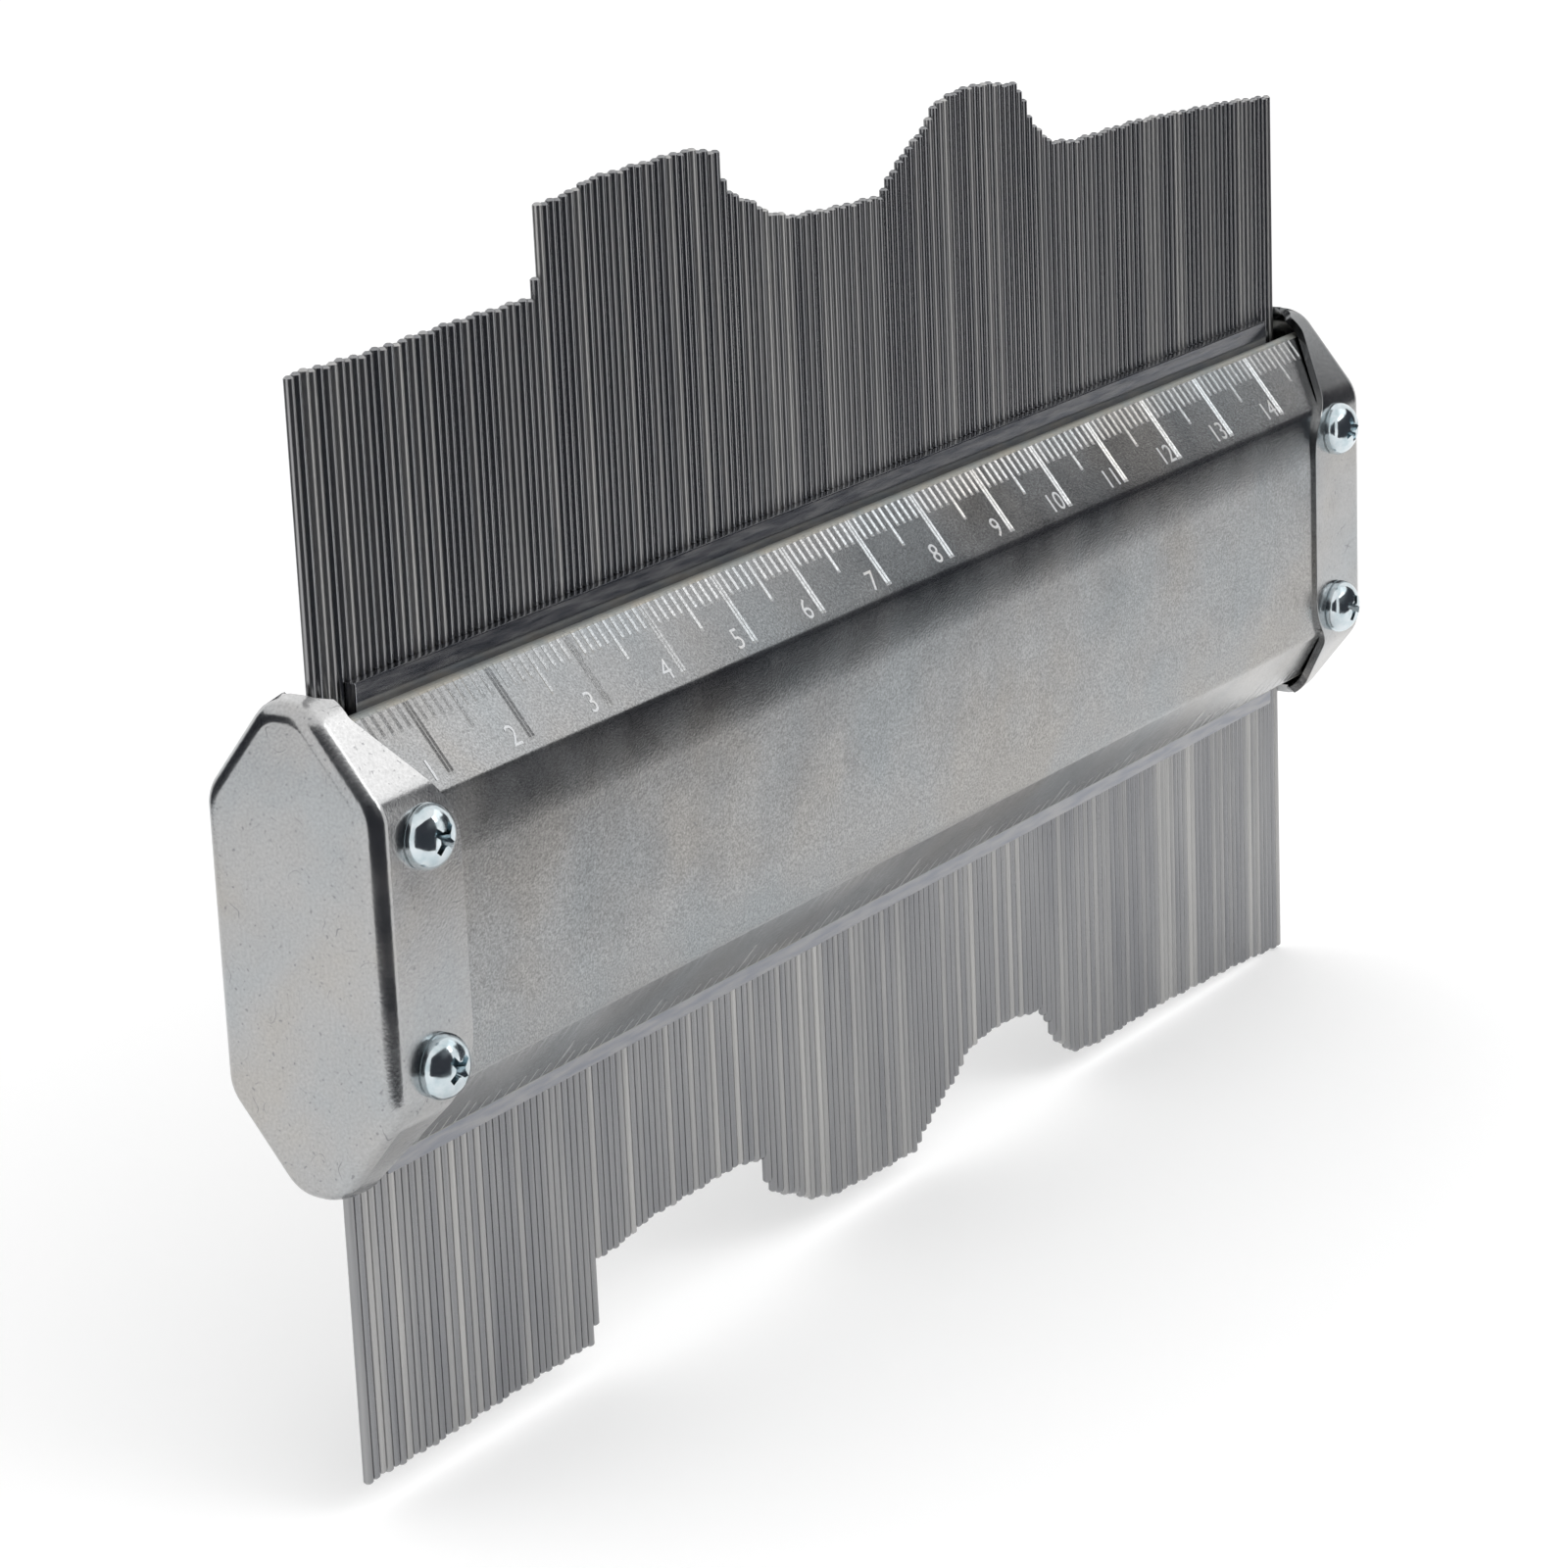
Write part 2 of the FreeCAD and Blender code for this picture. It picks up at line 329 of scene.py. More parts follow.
@dataclass(frozen=True)
class DrawnWire:
    """Drawn steel wire: each needle has its own shade, and streaks run up and down it."""

    name: str
    dark: Colour
    light: Colour
    gloss: Point
    first: float
    pitch: float
    own_power: float = 3.0
    own_share: float = 0.7
    streak_size: float = 0.3
    streak_stretch: float = 0.03
    streak_share: float = 0.38
    streak_depth: float = 0.006
    drift_size: float = 9.0
    drift_stretch: float = 0.3
    drift_share: float = 0.5

    def material(self) -> Material:
        """Make the material."""
        bench = NodeBench(self.name)
        along = bench.maths("SUBTRACT", bench.part(bench.place(), "X"), self.first - self.pitch / 2)
        number = bench.maths("FLOOR", bench.maths("DIVIDE", along, self.pitch))
        own = bench.make("TexWhiteNoise", "Value", {"W": number}, noise_dimensions="1D")
        streaks = bench.noise(bench.place((1.0, 1.0, self.streak_stretch)), self.streak_size)
        drift = bench.noise(bench.place((1.0, 1.0, self.drift_stretch)), self.drift_size)
        mixed = bench.maths("MULTIPLY", bench.maths("POWER", own, self.own_power), self.own_share)
        mixed = bench.maths("ADD", mixed, bench.maths("MULTIPLY", streaks, self.streak_share))
        drift = bench.maths("MULTIPLY", bench.maths("SUBTRACT", drift, 0.5), self.drift_share)
        colour = bench.tint(bench.maths("ADD", mixed, drift), self.dark, self.light)
        bench.coat(colour, own, self.gloss, (0.0, 1.0))
        bench.bump(streaks, self.streak_depth)
        return bench.material


@dataclass(frozen=True)
class Body:
    """Sizes of the whole gauge body, that its pieces share."""

    length: float = 155.0
    height: float = 38.3
    depth: float = 16.1
    top_flat: float = 4.0
    front_flat: float = 23.3

    def outline(self, inset: float) -> list[Vector]:
        """Give the eight (y, z) corners of the body's section, moved inwards.

        Args:
            inset: Distance inwards.

        Returns:
            The corners from the top front one down the front and back up the rear.
        """
        top, front = self.height / 2, self.depth / 2
        half_top, half_front = self.top_flat / 2, self.front_flat / 2
        quarter = [Vector((-half_top, top)), Vector((-front, half_front))]
        slope = (quarter[1] - quarter[0]).normalized()
        outward = Vector((slope.y, -slope.x))
        edge = quarter[0] - outward * inset
        upper = edge + slope * ((top - inset - edge.y) / slope.y)
        lower = edge + slope * ((inset - front - edge.x) / slope.x)
        left = [upper, lower, Vector((lower.x, -lower.y)), Vector((upper.x, -upper.y))]
        return left + [Vector((-corner.x, corner.y)) for corner in reversed(left)]

    def turn(self, bm: BMesh, side: Side) -> None:
        """Turn a mesh half round about the upright through the body's middle, if its side asks for it.

        Args:
            bm: The mesh, in millimetres.
            side: Which of the two pieces it is.
        """
        if side is Side.TURNED:
            middle = Vector((self.length / 2, 0.0, 0.0))
            bmesh.ops.rotate(bm, cent=middle, matrix=Matrix.Rotation(math.pi, 3, "Z"), verts=bm.verts)


BODY = Body()


def finish_piece(
    name: str, bm: BMesh, material: Material,
    body: str = "root", replaces: tuple[str, ...] = (), sharp: float = 30.0,
) -> bpy.types.Object:
    """Turn a mesh in millimetres into a dressed piece that rides on a body.

    Args:
        name: Name of the piece.
        bm: The mesh; it is freed.
        material: Its finish.
        body: The body that it rides on.
        replaces: The frame's nodes that it stands for.
        sharp: Angle in degrees from which an edge shows as sharp.

    Returns:
        The piece.
    """
    bmesh.ops.scale(bm, vec=(MM, MM, MM), verts=bm.verts)
    piece = add_object(name, bm)
    mesh = piece.data
    mesh.shade_smooth()
    mesh.set_sharp_from_angle(angle=math.radians(sharp))
    mesh.materials.append(material)
    weighting = piece.modifiers.new("flat_faces", "WEIGHTED_NORMAL")
    weighting.keep_sharp = True
    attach(piece, body)
    if replaces:
        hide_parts(*replaces)
    log.info("%s: %d faces on %s", name, len(mesh.polygons), body)
    return piece


def add_ring(bm: BMesh, points: list[Vector]) -> None:
    """Add a face from its corners in order."""
    bm.faces.new([bm.verts.new(point) for point in points])


def extrude(bm: BMesh, edges: list[BMEdge]) -> tuple[list[BMVert], list[BMEdge]]:
    """Extrude edges, and give the fresh corners and edges."""
    grown = bmesh.ops.extrude_edge_only(bm, edges=edges)["geom"]
    return [g for g in grown if isinstance(g, BMVert)], [g for g in grown if isinstance(g, BMEdge)]


def round_off(
    bm: BMesh, geom: list[BMEdge] | list[BMVert], offset: float, steps: int = 1, clamp: bool = False,
) -> None:
    """Round edges or corners.

    Args:
        bm: The mesh.
        geom: The edges or corners.
        offset: Distance from them at which the round starts.
        steps: Number of facets in the round.
        clamp: Whether a round stops where it would meet the next one.
    """
    affect = "VERTICES" if isinstance(geom[0], BMVert) else "EDGES"
    bmesh.ops.bevel(
        bm, geom=geom, offset=offset, offset_type="OFFSET", segments=steps, profile=0.5, affect=affect,
        clamp_overlap=clamp, material=-1,
    )


def add_object(name: str, data: bpy.types.ID | BMesh) -> bpy.types.Object:
    """Put a mesh, text, lamp or camera in an object of its own.

    Args:
        name: Name of the object.
        data: What it holds; a bmesh is freed.

    Returns:
        The object.
    """
    if isinstance(data, BMesh):
        mesh = bpy.data.meshes.new(name)
        data.to_mesh(mesh)
        data.free()
        data = mesh
    holder = bpy.data.objects.new(name, data)
    bpy.context.scene.collection.objects.link(holder)
    return holder


def finished_mesh(holder: bpy.types.Object) -> bpy.types.Mesh:
    """Give a new mesh of an object with its modifiers applied."""
    bpy.context.view_layer.update()
    return bpy.data.meshes.new_from_object(holder.evaluated_get(bpy.context.evaluated_depsgraph_get()))


@dataclass
class Shell:
    """One pressed channel with stamped scales on its two slopes."""

    inset: float = 0.85
    sheet: float = 1.0
    bend: float = 1.2
    brow_bend: float = 45.0
    brow_run: float = 4.8
    front_inset: float = 0.3
    lip_round: float = 0.75
    lip_steps: int = 6
    bend_steps: int = 6
    start: float = 1.25
    least_step: float = 0.004
    lip_gap: float = 1.52
    scale_zero: float = 0.87
    stamp_half_width: float = 0.22
    stamp_depth: float = 0.08
    double_spread: float = 0.2
    double_half_width: float = 0.18
    ticks: range = range(2, 150)
    tick_ends: tuple[float, ...] = (2.85, 4.6, 7.2)
    tick_runout: float = 0.25
    sixteenths: range = range(2, 94)
    inch_sixteenth: float = 25.4 / 16
    inch_ends: tuple[float, ...] = (2.4, 3.4, 4.4)
    inch_depth: float = 0.02
    numbers: range = range(1, 15)
    numeral_size: float = 2.622
    numeral_centre: float = 6.4
    numeral_left: float = 1.8
    numeral_burr: float = 0.02
    corners: list[Vector] = field(init=False)
    down: Vector = field(init=False)
    outward: Vector = field(init=False)

    def __post_init__(self) -> None:
        """Work out the outer corners of the front channel's section, from the upper lip down.

        The upper slope's directions, down it and out of it, are (y, z) vectors as the corners are.
        """
        outline = BODY.outline(self.inset)
        slope = (outline[1] - outline[0]).normalized()
        lip_y = -self.lip_gap + slope.y * self.sheet
        lip = outline[0] + slope * ((lip_y - outline[0].x) / slope.x)
        upper = [lip, *self.brow(self.inset, self.bend, self.brow_bend)]
        self.corners = upper + [Vector((p.x, -p.y)) for p in reversed(upper)]
        self.down = (self.corners[1] - self.corners[0]).normalized()
        self.outward = Vector((self.down.y, -self.down.x))

    def brow(self, inset: float, bend: float, brow_bend: float) -> list[Vector]:
        """Give the corners of the tight bend below the upper slope and of the slow bend that follows it.

        Args:
            inset: Distance of the slope inwards from the body's outline.
            bend: Radius of the tight bend.
            brow_bend: Radius of the slow bend.

        Returns:
            The two (y, z) corners.
        """
        top, shoulder = BODY.outline(inset)[:2]
        slope = (shoulder - top).normalized()
        steep, lean = math.atan2(-slope.x, -slope.y), self.brow_run / self.brow_bend
        run = bend * math.tan((steep - lean) / 2) + brow_bend * math.tan(lean / 2)
        front = shoulder.x - self.inset + self.front_inset
        high = top + slope * ((front + run * math.sin(lean) - top.x) / slope.x)
        return [high, Vector((front, high.y - run * math.cos(lean)))]

    def stamps(self) -> tuple[list[Point], list[Point]]:
        """Give the grooves of both scales.

        Returns:
            For the upper and the lower slope, the place along the gauge and the length of each groove.
        """
        upper = []
        for number in self.ticks:
            x = self.scale_zero + number
            if number % 10 == 0:
                upper += [(x + way * self.double_spread, self.tick_ends[2]) for way in (-1, 1)]
            else:
                upper.append((x, self.tick_ends[1 if number % 5 == 0 else 0]))
        lower = []
        for number in self.sixteenths:
            length = self.inch_ends[2 if number % 16 == 0 else 1 if number % 8 == 0 else 0]
            lower.append((self.scale_zero + number * self.inch_sixteenth, length))
        return upper, lower

    def half_width(self, length: float) -> float:
        """Give half the width of a groove of a length; the doubled long ones are narrower."""
        return self.double_half_width if length == self.tick_ends[2] else self.stamp_half_width

    def section(self, bm: BMesh) -> list[BMEdge]:
        """Draw the channel's section with rounded bends at its start.

        Args:
            bm: The mesh.

        Returns:
            The edges of the section.
        """
        lip, high, low = self.corners[:3]
        upper, lower = (
            [lip + self.down * (end - run) for end in ends for run in (self.tick_runout, 0.0)]
            for ends in (self.tick_ends, self.inch_ends)
        )
        above, below = [lip, *upper, high, low], [low, high, *reversed(lower), lip]
        inner = self.brow(self.inset + self.sheet, self.bend - self.sheet, self.brow_bend - self.sheet)
        back = [lip - self.outward * self.sheet, *inner]
        points = above + [Vector((p.x, -p.y)) for p in below + back] + back[::-1]
        add_ring(bm, [Vector((self.start, p.x, p.y)) for p in points])
        lean = self.brow_run / self.brow_bend
        tight = math.acos(self.down.dot(Vector((0.0, -1.0)))) - lean
        bends = [(lip, self.lip_round, self.lip_steps)]
        for outside, inside, bend, turn in (
            (high, inner[0], self.bend, tight), (low, inner[1], self.brow_bend, lean),
        ):
            for corner, radius in ((outside, bend), (inside, bend - self.sheet)):
                bends.append((corner, radius * math.tan(turn / 2), self.bend_steps))
        for corner, offset, steps in bends:
            verts = [v for v in bm.verts if abs(v.co.y - corner.x) + abs(abs(v.co.z) - corner.y) < NEAR]
            round_off(bm, verts, offset - NEAR, steps)
        bmesh.ops.remove_doubles(bm, verts=bm.verts, dist=5 * NEAR)
        edges = bm.edges[:]
        bmesh.ops.delete(bm, geom=bm.faces[:], context="FACES_ONLY")
        return edges

    def in_groove(self, x: float, run: float, stamps: list[Point]) -> float | None:
        """Give where in a groove a place lies, from -1 at its left edge to 1 at its right one.

        Args:
            x: Place along the gauge.
            run: Distance down the slope from the lip.
            stamps: The grooves near it.

        Returns:
            The share, or nothing beside the grooves.
        """
        for centre, length in stamps:
            share = (x - centre) / self.half_width(length)
            if abs(share) < 1.0 and run < length - self.tick_runout / 2:
                return share
        return None

    def stops(self, stamps: list[Point]) -> list[float]:
        """Give the places along the gauge at which the section is repeated.

        Args:
            stamps: The grooves of both slopes.

        Returns:
            The ends of the channel and the middle and both sides of each groove, in order.
        """
        wanted = {self.start, BODY.length - self.start}
        for centre, length in stamps:
            width = self.half_width(length)
            wanted |= {centre - width, centre, centre + width}
        places: list[float] = []
        for stop in sorted(wanted):
            if not places or stop - places[-1] > self.least_step:
                places.append(stop)
        return places

    def on_slope(self, point: Vector) -> Point:
        """Give how far a point lies down the slope from the lip, and how far out of the slope's face."""
        spot = Vector((point.y, abs(point.z))) - self.corners[0]
        return spot.dot(self.down), spot.dot(self.outward)

    def mesh(self) -> BMesh:
        """Press the channel with its grooves, and mark its cut lips and the groove walls that take a
        painted highlight.

        Returns:
            The front shell's mesh.
        """
        bm = bmesh.new()
        edges = self.section(bm)
        slopes = self.stamps()
        places = self.stops(slopes[0] + slopes[1])
        step = 1.0
        far, _ = extrude(bm, edges)
        bmesh.ops.translate(bm, verts=far, vec=(step * (len(places) - 1), 0, 0))
        long_edges = [e for e in bm.edges if abs(e.verts[0].co.x - e.verts[1].co.x) > step]
        bmesh.ops.subdivide_edges(bm, edges=long_edges, cuts=len(places) - 2, use_grid_fill=True)
        near = [[[s for s in stamps if abs(s[0] - x) < 1.0] for x in places] for stamps in slopes]
        for vert in bm.verts:
            row = round((vert.co.x - self.start) / step)
            vert.co.x = places[row]
            run, off = self.on_slope(vert.co)
            lower = int(vert.co.z <= 0)
            share = self.in_groove(places[row], run, near[lower][row])
            if share is None or abs(off) > NEAR or run < -NEAR:
                continue
            depth = (self.stamp_depth, self.inch_depth)[lower] * (1.0 - abs(share))
            vert.co.y -= self.outward.x * depth
            vert.co.z -= self.outward.y * depth * (-1 if lower else 1)
        for face in bm.faces:
            middle = face.calc_center_median()
            run, off = self.on_slope(middle)
            if run < self.lip_round:
                face.material_index = Face.CUT.value
            elif off > -self.sheet / 2:
                stamps = near[int(middle.z <= 0)][bisect(places, middle.x) - 1]
                share = self.in_groove(middle.x, run, stamps)
                # The left wall of each groove takes the lighter finish, a painted highlight.
                if share is not None and share < 0.0:
                    face.material_index = Face.GROOVE.value
        for x in (places[0], places[-1]):
            rim = [e for e in bm.edges if all(abs(v.co.x - x) < NEAR for v in e.verts)]
            bmesh.ops.contextual_create(bm, geom=rim)
        bmesh.ops.recalc_face_normals(bm, faces=bm.faces)
        return bm

    def numerals(self) -> BMesh:
        """Form the centimetre numbers as thin strokes that stand up a little from the upper slope.

        Returns:
            The mesh of all the numbers on the front shell.
        """
        bm = bmesh.new()
        lip, down, outward = self.corners[0], self.down, self.outward
        basis = Matrix((
            (1.0, 0.0, 0.0),
            (0.0, -down.x, outward.x),
            (0.0, -down.y, outward.y),
        )).to_4x4()
        for number in self.numbers:
            letters = bpy.data.curves.new("numeral", "FONT")
            letters.body = str(number)
            letters.size = self.numeral_size
            letters.align_x = letters.align_y = "CENTER"
            letters.resolution_u = 3
            letters.offset = -self.numeral_burr
            letters.extrude = letters.bevel_depth = self.numeral_burr
            letters.bevel_resolution = 0
            holder = add_object("numeral", letters)
            mesh = finished_mesh(holder)
            spot = lip + down * self.numeral_centre
            x = self.scale_zero + number * 10 - self.numeral_left
            mesh.transform(Matrix.Translation((x, spot.x, spot.y)) @ basis)
            bm.from_mesh(mesh)
            bpy.data.objects.remove(holder)
            bpy.data.meshes.remove(mesh)
        bmesh.ops.remove_doubles(bm, verts=bm.verts, dist=2 * NEAR)
        bmesh.ops.recalc_face_normals(bm, faces=bm.faces)
        return bm

    def build(self, sheet: Material, stamp: Material, cut: Material, groove: Material) -> None:
        """Build and dress both shells with their numbers.

        Args:
            sheet: Finish of the shells.
            stamp: Finish of the numbers, lighter than the sheet as a painted highlight.
            cut: Finish of the cut lips.
            groove: Finish of the left wall of each groove, lighter than the sheet as a painted highlight.
        """
        for name, side in zip(("front", "rear"), Side):
            bm = self.mesh()
            BODY.turn(bm, side)
            piece = finish_piece(
                f"{name}_channel", bm, sheet, replaces=(f"{name}_shell",), sharp=9.0,
            )
            for finish in (cut, groove):
                piece.data.materials.append(finish)
            bm = self.numerals()
            BODY.turn(bm, side)
            finish_piece(f"{name}_numbers", bm, stamp)


@dataclass
class EndCap:
    """Pressed eight-sided cup over the ends of both shells."""

    sheet: float = 0.8
    end_bend: float = 1.5
    side_bend: float = 3.5
    rim_width: float = 3.5
    rim_dip: float = 1.6
    ear_width: float = 9.8
    sweep_start: float = 7.0
    sweep_bend: float = 6.0
    lip_height: float = 17.43
    cut_edge_round: float = 0.08
    cut_edge_angle: float = 55.0
    springs: Point = (0.25, 0.2)
    bend_steps: int = 7
    top_steps: int = 7
    side_steps: int = 5
    least_cut: float = 1.0
    slope_cuts: int = 18
    top_cuts: int = 9
    front_cuts: int = 26

    def rim_edge(self, y: float, z: float) -> float:
        """Give how far the rim reaches from the plate at a place round the cup.

        Args:
            y: Place across the gauge.
            z: Height.

        Returns:
            The reach along the gauge.
        """
        low, high = self.sweep_start, self.lip_height
        height = abs(z)
        if abs(y) < BODY.top_flat / 2 and height > high:
            half = BODY.top_flat / 2
            radius = (self.rim_dip ** 2 + half ** 2) / (2 * self.rim_dip)
            return self.rim_width - self.rim_dip + radius - math.sqrt(max(radius ** 2 - y ** 2, 0.0))
        if height <= low:
            return self.ear_width
        if height >= high:
            return self.rim_width
        hub = Vector((self.ear_width - self.sweep_bend, low))
        span = Vector((self.rim_width, high)) - hub
        turn = math.atan2(span.y, span.x) - math.acos(self.sweep_bend / span.length)
        leave = hub + Vector((math.cos(turn), math.sin(turn))) * self.sweep_bend
        if height < leave.y:
            return hub.x + math.sqrt(self.sweep_bend ** 2 - (height - low) ** 2)
        return leave.x + (self.rim_width - leave.x) * (height - leave.y) / (high - leave.y)

    def facing(self, vert: BMVert) -> Vector:
        """Set a corner of the rounded outline exactly on its arc and give its outward direction.

        Args:
            vert: The corner.

        Returns:
            The direction.
        """
        spot, hub = vert.co.yz, BODY.outline(self.side_bend)
        feet = []
        for start, end in zip(hub, hub[1:] + hub[:1]):
            along = end - start
            share = (spot - start).dot(along) / along.length_squared
            feet.append(start + along * min(max(share, 0.0), 1.0))
        foot = min(feet, key=lambda point: (spot - point).length)
        outward = (spot - foot).normalized()
        vert.co = (vert.co.x, *(foot + outward * self.side_bend))
        return Vector((0.0, *outward))

    def turn_in(self, bm: BMesh, outline: list[BMEdge]) -> dict[BMVert, Vector]:
        """Bend the outline round into the plate and close it.

        Args:
            bm: The mesh.
            outline: The edges where the rim starts.

        Returns:
            The outward direction at each corner of the mesh.
        """
        ring = outline
        outward = {vert: self.facing(vert) for vert in {v for e in outline for v in e.verts}}
        start = {vert: (vert.co.copy(), facing) for vert, facing in outward.items()}
        for step in range(1, self.bend_steps + 1):
            angle = math.pi / 2 * step / self.bend_steps
            fresh, rims = extrude(bm, ring)
            moved = {}
            for vert in fresh:
                below = next(e.other_vert(vert) for e in vert.link_edges if e.other_vert(vert) in start)
                spot, facing = start[below]
                inward = self.end_bend * (1 - math.cos(angle))
                vert.co = spot - facing * inward
                vert.co.x = self.end_bend * (1 - math.sin(angle))
                moved[vert] = (spot, facing)
                outward[vert] = facing * math.cos(angle) - Vector((math.sin(angle), 0.0, 0.0))
            start = moved
            ring = [e for e in rims if all(v in moved for v in e.verts)]
        bmesh.ops.contextual_create(bm, geom=ring)
        middle = bmesh.ops.poke(bm, faces=bm.faces[-1:])["verts"]
        outward.update({vert: Vector((-1.0, 0.0, 0.0)) for vert in middle})
        return outward

    def mesh(self, spring: float) -> BMesh:
        """Press the left cup.

        Args:
            spring: How far the free edge of the rim stands off at its top.

        Returns:
            The mesh.
        """
        bm = bmesh.new()
        add_ring(bm, [Vector((0.0, p.x, p.y)) for p in BODY.outline(0.0)])
        half_top = BODY.top_flat / 2
        steep = math.atan2(BODY.depth / 2 - half_top, (BODY.height - BODY.front_flat) / 2)
        for axis, reach, turn, steps in (
            (2, BODY.height / 2, math.pi / 2 - steep, self.top_steps),
            (1, BODY.depth / 2, steep, self.side_steps),
        ):
            verts = [v for v in bm.verts if abs(v.co[axis]) > reach - NEAR]
            round_off(bm, verts, self.side_bend * math.tan(turn / 2), steps)
        for edge in list(bm.edges):
            length, rise = edge.calc_length(), abs(edge.verts[0].co.z - edge.verts[1].co.z)
            if length < self.least_cut:
                continue
            cuts = self.front_cuts if rise > length - NEAR else self.slope_cuts
            bmesh.ops.subdivide_edges(bm, edges=[edge], cuts=self.top_cuts if rise < NEAR else cuts)
        outline = list(bm.edges)
        bmesh.ops.delete(bm, geom=bm.faces[:], context="FACES_ONLY")
        bmesh.ops.translate(bm, verts=bm.verts, vec=(self.end_bend, 0, 0))
        outward = self.turn_in(bm, outline)
        free, _ = extrude(bm, outline)
        low = BODY.front_flat / 2
        for vert in free:
            base = next(e.other_vert(vert) for e in vert.link_edges if e.other_vert(vert) in outward)
            outward[vert] = outward[base]
            vert.co.x = self.rim_edge(vert.co.y, vert.co.z)
            climb = min(max((abs(vert.co.z) - low) / (self.lip_height - low), 0.0), 1.0)
            vert.co += outward[base] * spring * climb
        copy = bmesh.ops.duplicate(bm, geom=bm.verts[:] + bm.edges[:] + bm.faces[:])
        for vert, facing in outward.items():
            copy["vert_map"][vert].co = vert.co - facing * self.sheet
        bmesh.ops.bridge_loops(bm, edges=[e for e in bm.edges if e.is_boundary])
        bmesh.ops.recalc_face_normals(bm, faces=bm.faces)
        turn = math.radians(self.cut_edge_angle)
        cut = [e for e in bm.edges if len(e.link_faces) == 2 and e.calc_face_angle(0.0) > turn
               and min(v.co.x for v in e.verts) > self.end_bend]
        round_off(bm, cut, self.cut_edge_round, clamp=True)
        return bm

    def build(self, left: Material, right: Material) -> None:
        """Build and dress both caps.

        Args:
            left: Finish of the left cap, with a painted highlight on its upper slopes.
            right: Finish of the right cap, with painted shade on its upper slopes.
        """
        for name, side, spring, finish in zip(("left", "right"), Side, self.springs, (left, right)):
            bm = self.mesh(spring)
            BODY.turn(bm, side)
            finish_piece(f"{name}_cup", bm, finish, replaces=(f"{name}_end_cap",), sharp=32.0)


@dataclass
class PanScrew:
    """Small pan head screw with a cross recess, two in each ear."""

    from_end: float = 5.6
    height: float = 8.8
    recess_reach: float = 1.45
    recess_width: float = 0.62
    recess_depth: float = 1.35
    recess_top: float = 2.15
    recess_taper: Place = (0.45, 0.8, 1.0)
    cone_radii: Point = (0.25, 0.68)
    cone_extra: float = 0.12
    cone_drop: float = 0.02
    cone_sides: int = 16
    spin_steps: int = 36
    turns: tuple[float, ...] = (52.0, 38.0, 20.0, 67.0)
    profile: tuple[Point, ...] = (
        (0.0, 1.92), (0.7, 1.9), (1.2, 1.8), (1.65, 1.62), (2.02, 1.33), (2.3, 0.98), (2.45, 0.65),
        (2.5, 0.4), (2.5, 0.12), (2.42, 0.0), (1.25, 0.0), (1.25, -4.6), (0.85, -5.0), (0.0, -5.0),
    )

    def head(self) -> bpy.types.Object:
        """Turn the screw, upright with its seat at the origin.

        Returns:
            A scratch object of the screw.
        """
        bm = bmesh.new()
        verts = [bm.verts.new((radius, 0.0, height)) for radius, height in self.profile]
        edges = [bm.edges.new(pair) for pair in zip(verts, verts[1:])]
        bmesh.ops.spin(
            bm, geom=verts + edges, cent=(0, 0, 0), axis=(0, 0, 1), angle=2 * math.pi,
            steps=self.spin_steps, use_merge=True,
        )
        bmesh.ops.remove_doubles(bm, verts=bm.verts, dist=NEAR)
        bmesh.ops.recalc_face_normals(bm, faces=bm.faces)
        return add_object("screw_blank", bm)

    def recess(self) -> bpy.types.Object:
        """Shape the punch that leaves the cross recess.

        Returns:
            A scratch object of the punch.
        """
        bm = bmesh.new()
        for turn in (0.0, math.pi / 2):
            made = bmesh.ops.create_cube(bm, size=1.0)["verts"]
            size = (2 * self.recess_reach, self.recess_width, self.recess_depth)
            bmesh.ops.scale(bm, vec=size, verts=made)
            foot = [v for v in made if v.co.z < 0]
            bmesh.ops.scale(bm, vec=self.recess_taper, verts=foot)
            bmesh.ops.rotate(bm, cent=(0, 0, 0), matrix=Matrix.Rotation(turn, 3, "Z"), verts=made)
        foot_radius, top_radius = self.cone_radii
        cone = bmesh.ops.create_cone(
            bm, cap_ends=True, segments=self.cone_sides, radius1=foot_radius, radius2=top_radius,
            depth=self.recess_depth + self.cone_extra,
            matrix=Matrix.Rotation(math.pi / self.cone_sides, 4, "Z"),
        )["verts"]
        bmesh.ops.translate(bm, verts=cone, vec=(0, 0, -self.cone_drop))
        bmesh.ops.translate(bm, verts=bm.verts, vec=(0, 0, self.recess_top - self.recess_depth / 2))
        return add_object("recess_punch", bm)

    def build(self, finish: Material) -> None:
        """Build and dress all eight screws as one piece.

        Args:
            finish: Finish of the screws.
        """
        blank, punch = self.head(), self.recess()
        cut = blank.modifiers.new("cross", "BOOLEAN")
        cut.operation = "DIFFERENCE"
        cut.solver = "EXACT"
        cut.use_self = True
        cut.object = punch
        ready = finished_mesh(blank)
        bm = bmesh.new()
        spots = [(along, up) for along in (self.from_end, BODY.length - self.from_end)
                 for up in (self.height, -self.height)]
        tip = Matrix.Rotation(math.pi / 2, 4, "X")
        half_turn = Matrix.Translation((BODY.length, 0, 0)) @ Matrix.Rotation(math.pi, 4, "Z")
        for turned in (Matrix.Identity(4), half_turn):
            for (along, up), angle in zip(spots, self.turns):
                one = ready.copy()
                seat = Matrix.Translation((along, -BODY.depth / 2, up))
                one.transform(turned @ seat @ tip @ Matrix.Rotation(math.radians(angle), 4, "Z"))
                bm.from_mesh(one)
                bpy.data.meshes.remove(one)
        for scratch in (blank, punch):
            bpy.data.objects.remove(scratch)
        finish_piece("pan_screws", bm, finish, replaces=("cap_screws",), sharp=28.0)


